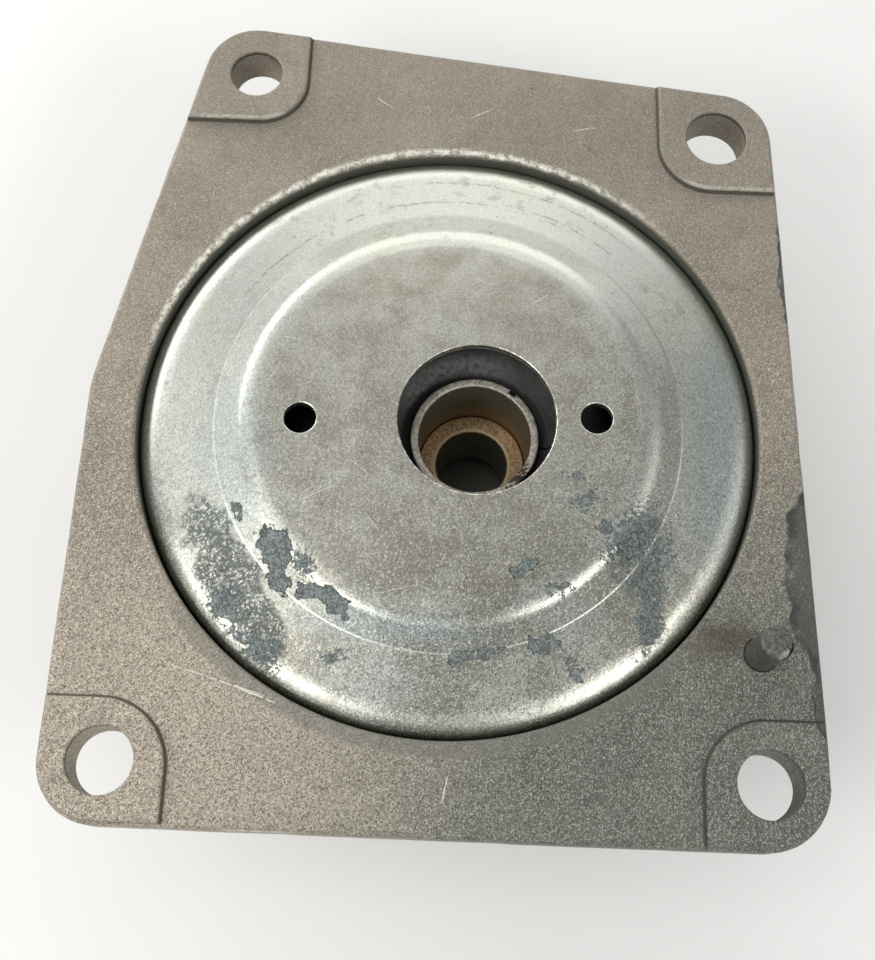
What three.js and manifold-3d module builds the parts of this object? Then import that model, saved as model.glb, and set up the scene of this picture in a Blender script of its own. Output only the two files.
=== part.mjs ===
// Cast four-bolt base that carries a rubber-bushed, eccentric bearing cartridge.
//
// Millimetres, +Z up. The bolting face, with its corner pads and locating pin, looks up. The cup
// behind it stands on its rear rim. Everything is drawn in the bore's own frame: the bore axis is
// x = y = 0 and the bolting face is z = 0. The last lines move the assembly so that its origin is
// under the middle of the outline, on the plane of the rear rim.
import * as THREE from 'three';
import { mergeVertices } from 'three/addons/utils/BufferGeometryUtils.js';
import Module from 'manifold-3d';

const wasm = await Module();
wasm.setup();

// ---- Driving dimensions -------------------------------------------------------------------

// Fits. LAY is the gap between faces that lie on each other. The others are radial: RUN for
// surfaces that turn, PRESS for a pin or bush pressed into its hole, and SEAT for the rubber and
// the bonding ring.
const LAY = 0.04;
const RUN = 0.08;
const PRESS = 0.1;
const SEAT = 0.3;

// Base casting: plate, pads and bore.
const PLATE_T = 6.3;
const PLATE_EDGE = 0.8;
const PAD_H = 1.0;
const PAD_INSET = 0.5;
const BORE_R = 50;
const BORE_LIP = 0.6;

// Corner circles of the plate's outline, anticlockwise from the near left. Each pad is the corner
// beyond a pair of straight lines (padX, padY) that meet in an arc of radius padR.
const corners = [
  { arc: [-49.4, -54.4], arcR: 9.4, hole: [-49.2, -54.6], holeR: 5.0, padX: -39.4, padY: -45.2, padR: 10.5 },
  { arc: [47.9, -54.2], arcR: 10.2, hole: [48.8, -54.8], holeR: 5.0, padX: 38.9, padY: -45.3, padR: 9.7 },
  { arc: [45.2, 54.6], arcR: 9.7, hole: [44.9, 54.7], holeR: 5.2, padX: 34.8, padY: 44.2, padR: 9.0 },
  { arc: [-35.8, 64.8], arcR: 9.5, hole: [-35.7, 64.4], holeR: 4.5, padX: -26.4, padY: 54.8, padR: 8.3 },
];
// The left side is bent here, on a wide radius.
const sideBend = { arc: [-33, 3.1], arcR: 25.1 };

// Base casting: the cup behind the plate.
const CUP_R = 55;
const CUP_RIM_R = 53.4;
const RIM_Z = -40;
const RECESS_R = 48.6;
const FLOOR_Z = -28;
const FLOOR_T = 5;
const NECK_R = 22;
const RECESS_CHAMFER = 1.6;
const RIM_CHAMFER = 0.8;
const SPRING_LAND_R = [29, 32];
const BACK_RIB = { count: 6, width: 3.6, height: 3.4 };
const GUSSET = { width: 4.2, depth: 20, clear: 8, tip: 2.5 };
const SIDE_GUSSETS = [{ angle: 90, reach: 64 }, { angle: 270, reach: 61 }];

// Locating pin.
const PIN = { x: 48.4, y: -35.5, r: 2.6, height: 10, chamfer: 0.7, root: 6 };

// Cartridge: the front cap, a pressed dish of sheet steel.
const TURNED = 2.1;
const ECCENTRICITY = 4.5;
const CAP = {
  sheet: 1.5,
  r: 49.7,
  topZ: 2.7,
  plateauR: 30.8,
  bendR: 10,
  slope: 18,
  creaseR: 37.4,
  ringSlope: 8.7,
  rimR: 4.6,
  skirtZ: -23,
  holeR: 12.6,
};
const SPANNER_HOLES = { r: 2.55, circleR: 23.5 };

// Cartridge: the rear shell, whose neck turns in the cup's floor and has a closed end.
const SHELL = { r: 48, wall: 1.8, topZ: -6, cornerR: 4, neckIn: 19, endZ: -39.3, endEdge: 0.6 };
const FRICTION_T = 1.0;
const WASHER_R = { in: NECK_R + 0.4, out: 27 };
const WAVE = { t: 0.5, height: 1.8, waves: 4 };
const BACKING_T = 1.2;
const RING = { t: 1.75, grooveR: 20.75, outR: 25.2, lugR: 27.6, lugAngle: 9, gap: 38, eyeR: 1.0 };

// Cartridge: the bonding ring and the rubber.
const BOND = { r: 45.9, t: 2, topZ: -7.5, endZ: -23.3 };
const RUBBER = {
  topZ: -5.6,
  ringZ: -7.8,
  endZ: -24.3,
  reliefIn: 26,
  reliefOut: 39,
  relief: 4.5,
  shoulder: 3,
  dishR: 17.5,
  dishDepth: 2.6,
};

// Bush: the steel sleeve and the bronze bush in it.
const SLEEVE = { r: 10.6, bore: 9.3, topZ: -6.4, endZ: -33, chamfer: 0.35 };
const NOTCH = { angle: 51, width: 1.3, depth: 0.75, length: 2.2 };
const BUSH = { topZ: -19.8, bore: 6.15, chamfer: 0.4 };

// Facets round a circle: the casting and the cap, what is inside them, the bush, and small holes.
const FINE = 64;
const MEDIUM = 48;
const SMALL = 32;
const TINY = 24;

// ---- Geometry helpers ---------------------------------------------------------------------

const rad = THREE.MathUtils.degToRad;
const FLOOR_BACK = FLOOR_Z - FLOOR_T;

// Points of an arc in the (r, z) plane; angles from the +r direction, in degrees.
function arcPoints(r, z, radius, from, to, steps) {
  const points = [];
  for (let i = 0; i <= steps; i += 1) {
    const a = rad(from + (to - from) * i / steps);
    points.push([r + radius * Math.cos(a), z + radius * Math.sin(a)]);
  }
  return points;
}

// A turned piece. The profile runs anticlockwise in (r, z), and closes on itself unless it
// starts and ends on the axis.
function turned(profile, segments) {
  const points = profile.map(([r, z]) => new THREE.Vector2(r, z));
  const onAxis = profile[0][0] === 0 && profile[profile.length - 1][0] === 0;
  if (!onAxis) {
    points.push(points[0].clone());
  }
  return new THREE.LatheGeometry(points, segments).rotateX(Math.PI / 2);
}

function ring(inner, outer, bottom, top, segments) {
  return turned([[inner, bottom], [outer, bottom], [outer, top], [inner, top]], segments);
}

function disc(radius, bottom, top, segments) {
  return turned([[0, bottom], [radius, bottom], [radius, top], [0, top]], segments);
}

// The second face of a sheet: each point of the first moved by the sheet's thickness, to the
// right of the way the face runs.
function sheetBack(face, thickness) {
  const rightOf = (a, b) => {
    const length = Math.hypot(b[0] - a[0], b[1] - a[1]);
    return [(b[1] - a[1]) / length, -(b[0] - a[0]) / length];
  };
  return face.map((point, i) => {
    const before = rightOf(face[Math.max(i - 1, 0)], face[Math.max(i, 1)]);
    const last = face.length - 1;
    const after = rightOf(face[Math.min(i, last - 1)], face[Math.min(i + 1, last)]);
    const sum = [before[0] + after[0], before[1] + after[1]];
    const scale = 2 * thickness / (sum[0] * sum[0] + sum[1] * sum[1]);
    return [point[0] + sum[0] * scale, point[1] + sum[1] * scale];
  });
}

// A closed geometry as a solid, with shared vertices merged and empty triangles left out.
function solid(geometry) {
  const bare = geometry.clone();
  bare.deleteAttribute('normal');
  bare.deleteAttribute('uv');
  const welded = mergeVertices(bare, 1e-4);
  const index = welded.index.array;
  const kept = [];
  for (let i = 0; i < index.length; i += 3) {
    const [a, b, c] = [index[i], index[i + 1], index[i + 2]];
    if (a !== b && b !== c && c !== a) {
      kept.push(a, b, c);
    }
  }
  return new wasm.Manifold(new wasm.Mesh({
    numProp: 3,
    vertProperties: new Float32Array(welded.attributes.position.array),
    triVerts: new Uint32Array(kept),
  }));
}

function surface(manifold) {
  const mesh = manifold.getMesh();
  const geometry = new THREE.BufferGeometry();
  geometry.setAttribute('position', new THREE.BufferAttribute(new Float32Array(mesh.vertProperties), 3));
  geometry.setIndex(new THREE.BufferAttribute(new Uint32Array(mesh.triVerts), 1));
  geometry.computeVertexNormals();
  return geometry;
}

function extruded(shape, bottom, top, options = {}) {
  const settings = { depth: top - bottom, bevelEnabled: false, curveSegments: 4, ...options };
  return new THREE.ExtrudeGeometry(shape, settings).translate(0, 0, bottom);
}

function drill(x, y, radius, bottom, top, segments) {
  return solid(disc(radius, bottom, top, segments).translate(x, y, 0));
}

// ---- Base casting -------------------------------------------------------------------------

// The plate's outline: arcs on the corner circles, joined by the lines that touch them. inset
// draws it smaller all round.
function plateOutline(inset) {
  const circles = [...corners, sideBend];
  const sideNormal = (from, to) => {
    const dx = to.arc[0] - from.arc[0];
    const dy = to.arc[1] - from.arc[1];
    const lean = Math.asin((from.arcR - to.arcR) / Math.hypot(dx, dy));
    return Math.atan2(dy, dx) - Math.PI / 2 + lean;
  };
  const shape = new THREE.Shape();
  circles.forEach((circle, i) => {
    const before = circles[(i + circles.length - 1) % circles.length];
    const after = circles[(i + 1) % circles.length];
    const start = sideNormal(before, circle);
    const end = sideNormal(circle, after);
    shape.absarc(circle.arc[0], circle.arc[1], circle.arcR - inset, start, end, false);
  });
  shape.closePath();
  return shape;
}

// The raised pad of one corner. Its inner sides slope, and its outer sides stop a little inside
// the plate's edge.
function cornerPad(corner) {
  const sx = Math.sign(corner.hole[0]);
  const sy = Math.sign(corner.hole[1]);
  const far = 40;
  const { padX, padY, padR } = corner;
  const shape = new THREE.Shape();
  shape.moveTo(padX + sx * far, padY + sy * far);
  shape.lineTo(padX, padY + sy * far);
  const arcX = padX + sx * padR;
  const arcY = padY + sy * padR;
  const start = sx > 0 ? Math.PI : 0;
  const end = sy > 0 ? -Math.PI / 2 : Math.PI / 2;
  const clockwise = sx * sy < 0;
  shape.absarc(arcX, arcY, padR, start, end, clockwise);
  shape.lineTo(padX + sx * far, padY);
  const slopes = {
    depth: PAD_H,
    bevelEnabled: true,
    bevelThickness: PAD_H,
    bevelSize: PAD_H,
    bevelOffset: -PAD_H,
    bevelSegments: 2,
  };
  const block = extruded(shape, -PAD_H, 0, slopes);
  const limit = extruded(plateOutline(PAD_INSET), -PLATE_T, 2 * PAD_H);
  return solid(block).intersect(solid(limit));
}

// A triangular gusset from the cup's wall out under the plate.
function gusset(angle, reach) {
  const shape = new THREE.Shape();
  const root = BORE_R + 2;
  const under = -PLATE_T + 1;
  shape.moveTo(root, under);
  shape.lineTo(root, under - GUSSET.depth);
  shape.lineTo(CUP_R, under - GUSSET.depth);
  shape.lineTo(reach, under - GUSSET.tip);
  shape.lineTo(reach, under);
  shape.closePath();
  const half = GUSSET.width / 2;
  return solid(extruded(shape, -half, half).rotateX(Math.PI / 2).rotateZ(rad(angle)));
}

function backRib(angle) {
  const from = (SPRING_LAND_R[0] + SPRING_LAND_R[1]) / 2;
  const length = RECESS_R + 1 - from;
  const box = new THREE.BoxGeometry(length, BACK_RIB.width, BACK_RIB.height + 1);
  const z = FLOOR_BACK - (BACK_RIB.height - 1) / 2;
  return solid(box.translate(from + length / 2, 0, z).rotateZ(rad(angle)));
}

function baseCasting() {
  const edge = {
    bevelEnabled: true,
    bevelThickness: PLATE_EDGE,
    bevelSize: PLATE_EDGE,
    bevelOffset: -PLATE_EDGE,
    bevelSegments: 2,
    depth: PLATE_T - 2 * PLATE_EDGE,
  };
  let body = solid(extruded(plateOutline(0), PLATE_EDGE - PLATE_T, 0, edge));
  for (const corner of corners) {
    body = body.add(cornerPad(corner));
  }
  const cup = [
    [0, FLOOR_BACK],
    [RECESS_R - RECESS_CHAMFER, FLOOR_BACK],
    [RECESS_R, FLOOR_BACK - RECESS_CHAMFER],
    [RECESS_R + 0.3, RIM_Z],
    [CUP_RIM_R - RIM_CHAMFER, RIM_Z],
    [CUP_RIM_R, RIM_Z + RIM_CHAMFER],
    [CUP_R - 0.1, -PLATE_T - 2.4],
    [CUP_R + 0.4, -PLATE_T - 0.8],
    [CUP_R + 1.5, -PLATE_T + 0.3],
    [CUP_R, -PLATE_T + 2],
    [0, -PLATE_T + 2],
  ];
  body = body.add(solid(turned(cup, FINE)));
  for (const corner of corners) {
    const [x, y] = corner.hole;
    const angle = THREE.MathUtils.radToDeg(Math.atan2(y, x));
    body = body.add(gusset(angle, Math.hypot(x, y) - GUSSET.clear));
  }
  for (const side of SIDE_GUSSETS) {
    body = body.add(gusset(side.angle, side.reach));
  }
  const [landIn, landOut] = SPRING_LAND_R;
  body = body.add(solid(ring(landIn, landOut, FLOOR_BACK - BACK_RIB.height, FLOOR_BACK + 1, FINE)));
  for (let i = 0; i < BACK_RIB.count; i += 1) {
    body = body.add(backRib(30 + i * 360 / BACK_RIB.count));
  }
  const bore = [
    [0, FLOOR_Z],
    [BORE_R, FLOOR_Z],
    [BORE_R, -BORE_LIP],
    [BORE_R + BORE_LIP, 0],
    [BORE_R + BORE_LIP, 1],
    [0, 1],
  ];
  body = body.subtract(solid(turned(bore, FINE)));
  body = body.subtract(drill(0, 0, NECK_R + RUN, FLOOR_BACK - 1, FLOOR_Z + 1, FINE));
  for (const corner of corners) {
    const [x, y] = corner.hole;
    body = body.subtract(drill(x, y, corner.holeR, -PLATE_T - 1, PAD_H + 1, TINY));
  }
  body = body.subtract(drill(PIN.x, PIN.y, PIN.r + PRESS, -PLATE_T - 1, 1, TINY));
  return surface(body);
}

function locatingPin() {
  const tip = PIN.r - PIN.chamfer;
  const profile = [
    [0, -PIN.root],
    [tip, -PIN.root],
    [PIN.r, PIN.chamfer - PIN.root],
    [PIN.r, PIN.height - PIN.chamfer],
    [tip, PIN.height],
    [0, PIN.height],
  ];
  return turned(profile, TINY).translate(PIN.x, PIN.y, 0);
}

// ---- Cartridge ----------------------------------------------------------------------------

// The upper face of the cap, from the axis outwards: plateau, soft bend, slope, crease, ring,
// rounded rim and skirt.
function capFace() {
  const bend = arcPoints(CAP.plateauR, CAP.topZ - CAP.bendR, CAP.bendR, 90, 90 - CAP.slope, 2);
  const [slopeR, slopeZ] = bend[bend.length - 1];
  const creaseZ = slopeZ - (CAP.creaseR - slopeR) * Math.tan(rad(CAP.slope));
  const rimCentreR = CAP.r - CAP.rimR;
  const rimStartR = rimCentreR + CAP.rimR * Math.sin(rad(CAP.ringSlope));
  const rimStartZ = creaseZ - (rimStartR - CAP.creaseR) * Math.tan(rad(CAP.ringSlope));
  const rimCentreZ = rimStartZ - CAP.rimR * Math.cos(rad(CAP.ringSlope));
  const rim = arcPoints(rimCentreR, rimCentreZ, CAP.rimR, 90 - CAP.ringSlope, 0, 4);
  return [[0, CAP.topZ], ...bend, [CAP.creaseR, creaseZ], ...rim, [CAP.r, CAP.skirtZ]];
}

function frontCap() {
  const face = capFace();
  const profile = [...sheetBack(face, CAP.sheet), ...face.reverse()];
  let body = solid(turned(profile, FINE));
  const through = [CAP.topZ - 2 * CAP.sheet, CAP.topZ + 1];
  body = body.subtract(drill(ECCENTRICITY, 0, CAP.holeR, ...through, MEDIUM));
  for (const side of [-1, 1]) {
    const x = side * SPANNER_HOLES.circleR;
    body = body.subtract(drill(x, 0, SPANNER_HOLES.r, ...through, TINY));
  }
  return surface(body);
}

// Heights of the stack on the shell's neck, from the cup's floor down to the retaining ring.
const shellFloorZ = FLOOR_Z + 2 * LAY + FRICTION_T;
const waveTopZ = FLOOR_BACK - LAY;
const backingTopZ = waveTopZ - WAVE.height - LAY;
const ringTopZ = backingTopZ - BACKING_T - LAY;
const ringEndZ = ringTopZ - RING.t;

// Drawn from one sheet, so the end of its neck is closed: the bush's bore is a blind socket.
function rearShell() {
  const { r, wall, topZ, cornerR, neckIn, endZ, endEdge } = SHELL;
  const cornerAt = r - cornerR;
  const innerFloorZ = shellFloorZ + wall;
  const profile = [
    [0, endZ],
    [NECK_R - endEdge, endZ],
    [NECK_R, endZ + endEdge],
    [NECK_R, ringEndZ - LAY],
    [RING.grooveR, ringEndZ - LAY],
    [RING.grooveR, ringTopZ + LAY],
    [NECK_R, ringTopZ + LAY],
    [NECK_R, shellFloorZ],
    ...arcPoints(cornerAt, shellFloorZ + cornerR, cornerR, -90, 0, 3),
    [r, topZ],
    [r - wall, topZ],
    ...arcPoints(cornerAt, shellFloorZ + cornerR, cornerR - wall, 0, -90, 2),
    [neckIn + 1.6, innerFloorZ],
    [neckIn, innerFloorZ - 1.6],
    [neckIn, endZ + wall],
    [0, endZ + wall],
  ];
  return turned(profile, MEDIUM);
}

function bondingRing() {
  return ring(BOND.r - BOND.t, BOND.r, BOND.endZ, BOND.topZ, MEDIUM);
}

// The rubber: a thick ring with a relief groove in both faces, and a dish round the sleeve.
function rubberElement() {
  const r = BOND.r - BOND.t - SEAT;
  const { topZ, ringZ, endZ, reliefIn, reliefOut, relief, shoulder, dishR, dishDepth } = RUBBER;
  const block = [
    [0, endZ],
    [reliefIn, endZ],
    [reliefIn + shoulder, endZ + relief],
    [reliefOut - shoulder, endZ + relief],
    [reliefOut, endZ],
    [r, endZ],
    [r, ringZ],
    [reliefOut, ringZ],
    [reliefOut - shoulder, ringZ - relief],
    [reliefIn + shoulder, topZ - relief - shoulder],
    [reliefIn, topZ],
    [0, topZ],
  ];
  const frontDish = [
    [0, topZ - dishDepth],
    [SLEEVE.r + 1.6, topZ - dishDepth],
    [SLEEVE.r + 3.2, topZ - 0.72 * dishDepth],
    [dishR - 1.6, topZ - 0.16 * dishDepth],
    [dishR, topZ],
    [dishR, topZ + 1],
    [0, topZ + 1],
  ];
  const rearDish = [
    [0, endZ - 1],
    [dishR, endZ - 1],
    [dishR, endZ],
    [dishR - 2.4, endZ + 0.5 * dishDepth],
    [SLEEVE.r + 1.6, endZ + dishDepth],
    [0, endZ + dishDepth],
  ];
  let body = solid(turned(block, MEDIUM));
  body = body.subtract(solid(turned(frontDish, SMALL).translate(ECCENTRICITY, 0, 0)));
  body = body.subtract(solid(turned(rearDish, SMALL).translate(ECCENTRICITY, 0, 0)));
  body = body.subtract(drill(ECCENTRICITY, 0, SLEEVE.r + RUN, endZ - 1, topZ + 1, SMALL));
  return surface(body);
}

function frictionWasher() {
  const bottom = FLOOR_Z + LAY;
  return ring(WASHER_R.in, SHELL.r - SHELL.cornerR - 2, bottom, bottom + FRICTION_T, MEDIUM);
}

// A flat ring bent into waves.
function waveSpring() {
  const middle = waveTopZ - WAVE.height / 2;
  const geometry = ring(WASHER_R.in, WASHER_R.out, middle - WAVE.t / 2, middle + WAVE.t / 2, MEDIUM);
  const swing = (WAVE.height - WAVE.t) / 2;
  const position = geometry.attributes.position;
  for (let i = 0; i < position.count; i += 1) {
    const angle = Math.atan2(position.getY(i), position.getX(i));
    position.setZ(i, position.getZ(i) + swing * Math.cos(WAVE.waves * angle));
  }
  geometry.computeVertexNormals();
  return geometry;
}

function backingWasher() {
  return ring(NECK_R + RUN, WASHER_R.out, backingTopZ - BACKING_T, backingTopZ, MEDIUM);
}

// Points along an arc about the axis, in the plane of a flat ring.
function sweep(radius, from, to, steps) {
  const points = [];
  for (let i = 0; i <= steps; i += 1) {
    const a = from + (to - from) * i / steps;
    points.push(new THREE.Vector2(radius * Math.cos(a), radius * Math.sin(a)));
  }
  return points;
}

// An open spring ring with an eye at each end, sprung into the neck's groove.
function retainingRing() {
  const inner = RING.grooveR + RUN;
  const half = rad(RING.gap / 2);
  const lug = rad(RING.lugAngle);
  const end = 2 * Math.PI - half;
  const shape = new THREE.Shape([
    ...sweep(RING.lugR, half, half + lug, 2),
    ...sweep(RING.outR, half + lug, end - lug, MEDIUM),
    ...sweep(RING.lugR, end - lug, end, 2),
    ...sweep(inner, end, half, MEDIUM),
  ]);
  const eyeAngle = half + lug / 2;
  const eyeAt = (inner + RING.lugR) / 2 + 0.6;
  for (const side of [-1, 1]) {
    const eye = new THREE.Path();
    const x = eyeAt * Math.cos(eyeAngle);
    const y = side * eyeAt * Math.sin(eyeAngle);
    eye.absarc(x, y, RING.eyeR, 0, 2 * Math.PI, true);
    shape.holes.push(eye);
  }
  return extruded(shape, ringEndZ, ringTopZ, { curveSegments: 6 });
}

// ---- Bush ---------------------------------------------------------------------------------

function innerSleeve() {
  const { r, bore, topZ, endZ, chamfer } = SLEEVE;
  const profile = [
    [bore, endZ],
    [r, endZ],
    [r, topZ],
    [bore + chamfer, topZ],
    [bore, topZ - chamfer],
  ];
  const notch = new THREE.BoxGeometry(2 * NOTCH.depth, NOTCH.width, 2 * NOTCH.length);
  notch.translate(r, 0, topZ).rotateZ(rad(NOTCH.angle));
  return surface(solid(turned(profile, SMALL)).subtract(solid(notch)));
}

function bronzeBush() {
  const r = SLEEVE.bore - PRESS;
  const { topZ, bore, chamfer } = BUSH;
  const profile = [
    [bore, SLEEVE.endZ + chamfer],
    [bore + chamfer, SLEEVE.endZ],
    [r - chamfer, SLEEVE.endZ],
    [r, SLEEVE.endZ + chamfer],
    [r, topZ - chamfer],
    [r - chamfer, topZ],
    [bore + chamfer, topZ],
    [bore, topZ - chamfer],
  ];
  return turned(profile, SMALL);
}

// ---- Finishes -----------------------------------------------------------------------------

const castAluminium = new THREE.MeshStandardMaterial({ color: 0x8f8b83, roughness: 0.72, metalness: 0.75 });
const pinSteel = new THREE.MeshStandardMaterial({ color: 0x6e706c, roughness: 0.55, metalness: 0.9 });
const zincPlate = new THREE.MeshStandardMaterial({ color: 0xb4b8b0, roughness: 0.32, metalness: 0.95 });
const rearZinc = new THREE.MeshStandardMaterial({ color: 0xa6aaa4, roughness: 0.38, metalness: 0.95 });
const bondSteel = new THREE.MeshStandardMaterial({ color: 0x55585a, roughness: 0.6, metalness: 0.8 });
const rubber = new THREE.MeshStandardMaterial({ color: 0x1d1f20, roughness: 0.78, metalness: 0.0 });
const sleeveSteel = new THREE.MeshStandardMaterial({ color: 0x9a958a, roughness: 0.6, metalness: 0.85 });
const bronze = new THREE.MeshStandardMaterial({ color: 0x9c6f45, roughness: 0.45, metalness: 0.9 });
const acetal = new THREE.MeshStandardMaterial({ color: 0xd8d4c8, roughness: 0.5, metalness: 0.0 });
const springSteel = new THREE.MeshStandardMaterial({ color: 0x4d5054, roughness: 0.4, metalness: 0.95 });
const washerSteel = new THREE.MeshStandardMaterial({ color: 0x9da1a0, roughness: 0.4, metalness: 0.95 });
const ringSteel = new THREE.MeshStandardMaterial({ color: 0x33363a, roughness: 0.45, metalness: 0.9 });

// ---- Assembly -----------------------------------------------------------------------------

function piece(name, geometry, material) {
  const mesh = new THREE.Mesh(geometry, material);
  mesh.name = name;
  return mesh;
}

const base = new THREE.Group();
base.add(
  piece('base_casting', baseCasting(), castAluminium),
  piece('locating_pin', locatingPin(), pinSteel),
  piece('friction_washer', frictionWasher(), acetal),
  piece('wave_spring', waveSpring(), springSteel),
);

const bush = new THREE.Group();
bush.position.x = ECCENTRICITY;
bush.add(
  piece('inner_sleeve', innerSleeve(), sleeveSteel),
  piece('bronze_bush', bronzeBush(), bronze),
);

const cartridge = new THREE.Group();
cartridge.rotation.z = rad(TURNED);
cartridge.add(
  piece('front_cap', frontCap(), zincPlate),
  piece('rear_shell', rearShell(), rearZinc),
  piece('bonding_ring', bondingRing(), bondSteel),
  piece('rubber_element', rubberElement(), rubber),
  piece('backing_washer', backingWasher(), washerSteel),
  piece('retaining_ring', retainingRing(), ringSteel),
  bush,
);

const assembly = new THREE.Group();
assembly.add(base, cartridge);
const outline = new THREE.Box3().setFromObject(base);
assembly.position.set(
  -(outline.min.x + outline.max.x) / 2,
  -(outline.min.y + outline.max.y) / 2,
  -RIM_Z,
);
const standingBase = new THREE.Group();
standingBase.add(assembly);

export default standingBase;
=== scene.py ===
import math

import bmesh
import bpy
from mathutils import Matrix, Vector, noise


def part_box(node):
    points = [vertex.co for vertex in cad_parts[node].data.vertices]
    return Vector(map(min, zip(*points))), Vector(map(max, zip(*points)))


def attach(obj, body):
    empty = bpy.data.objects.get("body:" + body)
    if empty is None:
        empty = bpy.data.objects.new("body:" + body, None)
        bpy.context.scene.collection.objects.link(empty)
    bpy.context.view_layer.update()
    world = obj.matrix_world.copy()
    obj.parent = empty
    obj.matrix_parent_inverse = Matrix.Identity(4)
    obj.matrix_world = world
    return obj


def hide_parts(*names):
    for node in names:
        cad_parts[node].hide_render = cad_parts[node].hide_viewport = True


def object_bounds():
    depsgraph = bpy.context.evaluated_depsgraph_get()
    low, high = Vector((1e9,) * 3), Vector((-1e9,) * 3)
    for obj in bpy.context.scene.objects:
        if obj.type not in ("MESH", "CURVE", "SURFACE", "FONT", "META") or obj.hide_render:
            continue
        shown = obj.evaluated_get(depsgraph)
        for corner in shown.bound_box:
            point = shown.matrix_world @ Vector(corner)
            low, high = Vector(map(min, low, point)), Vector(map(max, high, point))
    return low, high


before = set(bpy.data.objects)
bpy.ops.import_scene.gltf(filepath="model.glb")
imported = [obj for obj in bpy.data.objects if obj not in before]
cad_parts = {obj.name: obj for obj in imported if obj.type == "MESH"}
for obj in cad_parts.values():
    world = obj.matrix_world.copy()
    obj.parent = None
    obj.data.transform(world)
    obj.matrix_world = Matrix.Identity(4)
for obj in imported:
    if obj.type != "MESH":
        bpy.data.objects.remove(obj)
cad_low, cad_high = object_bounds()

MM = 0.001
PAD_H = 1.0

# ---- Places, from the frame ---------------------------------------------------------------


def middle(node):
    low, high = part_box(node)
    return (low + high) / 2


bore_axis = middle("friction_washer")
PLATE_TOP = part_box("base_casting")[1].z - PAD_H * MM
BORE_FRAME = Matrix.Translation((bore_axis.x, bore_axis.y, PLATE_TOP)) @ Matrix.Scale(MM, 4)

bush_offset = (middle("bronze_bush") - bore_axis) / MM
ECCENTRICITY = math.hypot(bush_offset.x, bush_offset.y)
TURNED = math.atan2(bush_offset.y, bush_offset.x)
CARTRIDGE_FRAME = BORE_FRAME @ Matrix.Rotation(TURNED, 4, "Z")
CARTRIDGE_TURN = Matrix.Rotation(TURNED, 2)
BUSH_FRAME = CARTRIDGE_FRAME @ Matrix.Translation((ECCENTRICITY, 0, 0))
pin_axis = (middle("locating_pin") - bore_axis) / MM


def level(node, top=True):
    """Height of a node's top or bottom above the bolting face, in millimetres."""
    return (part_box(node)[1 if top else 0].z - PLATE_TOP) / MM


def span(node):
    return level(node, top=False), level(node)


def half_width(node):
    low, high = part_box(node)
    return (high.y - low.y) / 2 / MM


def polar(r, degrees):
    a = math.radians(degrees)
    return (r * math.cos(a), r * math.sin(a))


BUSH_AT = polar(ECCENTRICITY, math.degrees(TURNED))

# ---- Driving dimensions, in millimetres ---------------------------------------------------

PLATE_T = 6.3
EDGE_R = 0.8
PAD_INSET = 0.5
BORE_R = 50.0
BORE_LIP = 0.6
BORE_LIP_START = -0.35
FIT = 0.04
LOOSE_FIT = 0.08

# Corners of the plate, anticlockwise from the near left: centre and radius of the outline's arc,
# centre and radius of the bolt hole, and the lines and corner radius of the pad.
CORNERS = [
    dict(arc=(-49.4, -54.4), arc_r=9.4, hole=(-49.2, -54.6), hole_r=5.0, pad=(-39.4, -45.2), pad_r=10.5),
    dict(arc=(47.9, -54.2), arc_r=10.2, hole=(48.8, -54.8), hole_r=5.0, pad=(38.9, -45.3), pad_r=9.7),
    dict(arc=(45.2, 54.6), arc_r=9.7, hole=(44.9, 54.7), hole_r=5.2, pad=(34.8, 44.2), pad_r=9.0),
    dict(arc=(-35.8, 64.8), arc_r=9.5, hole=(-35.7, 64.4), hole_r=4.5, pad=(-26.4, 54.8), pad_r=8.3),
]
SIDE_BEND = dict(arc=(-33, 3.1), arc_r=25.1)

CUP_R = 55.0
CUP_RIM_R = 53.4
RIM_Z = level("base_casting", top=False)
RECESS_R = 48.6
FLOOR_Z = -28.0
FLOOR_BACK = -33.0
NECK_R = 22.0
LAND_R = (29.0, 32.0)
RIB_HEIGHT = 3.4
RIB_WIDTH = 3.6
RIBS = 6
GUSSET_WIDTH = 4.2
GUSSET_DEPTH = 20.0
GUSSET_CLEAR = 8.0
SIDE_GUSSETS = [(90, 64.0), (270, 61.0)]

SHEET = 1.5
CAP_R = 49.7
CAP_TOP = level("front_cap")
CAP_END = level("front_cap", top=False)
# The section outwards: a plateau, a bend that is steepest halfway, a gentler slope, a small step at
# the crease, the ring, and the rolled rim.
PLATEAU_R = 30.3
BEND_R = 6.5
STEEPEST = math.radians(26)
HOLLOW_R = 4.0
SLOPE = math.radians(12)
CREASE_R = 37.25
CREASE_STEP = (0.16, 0.06)
RING_SLOPE = math.radians(8.7)
RIM_WIDE_R = 8.7
RIM_TIGHT_R = 2.4
RIM_TURN = math.radians(36)
CAP_HOLE_R = 12.6
SPANNER_R = 2.55
SPANNER_AT = 23.5

SHELL_R = 48.0
SHELL_WALL = 1.8
SHELL_END = level("rear_shell", top=False)
NECK_IN = 19.0
GROOVE_R = 20.75

# The pin's wear: a place in the noise, and the side that is chipped.
PIN_SEED = Vector((7, 3, 1))
PIN_CHIPPED = math.radians(-34)

# Rings round the neck: inner and outer radius.
FRICTION_R = (NECK_R + 0.4, 42)
BOND_R = (43.9, 45.9)
WASHER_R = (NECK_R + LOOSE_FIT, 27)
SPRING_IN = NECK_R + 0.4
SPRING_OUT = 27
SPRING_T = 0.5
SPRING_WAVES = 4

RING_IN = 20.83
RING_OUT = 25.2
RING_LUG_R = 27.6
RING_GAP = 2 * math.radians(19)
RING_LUG = math.radians(9)

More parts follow.
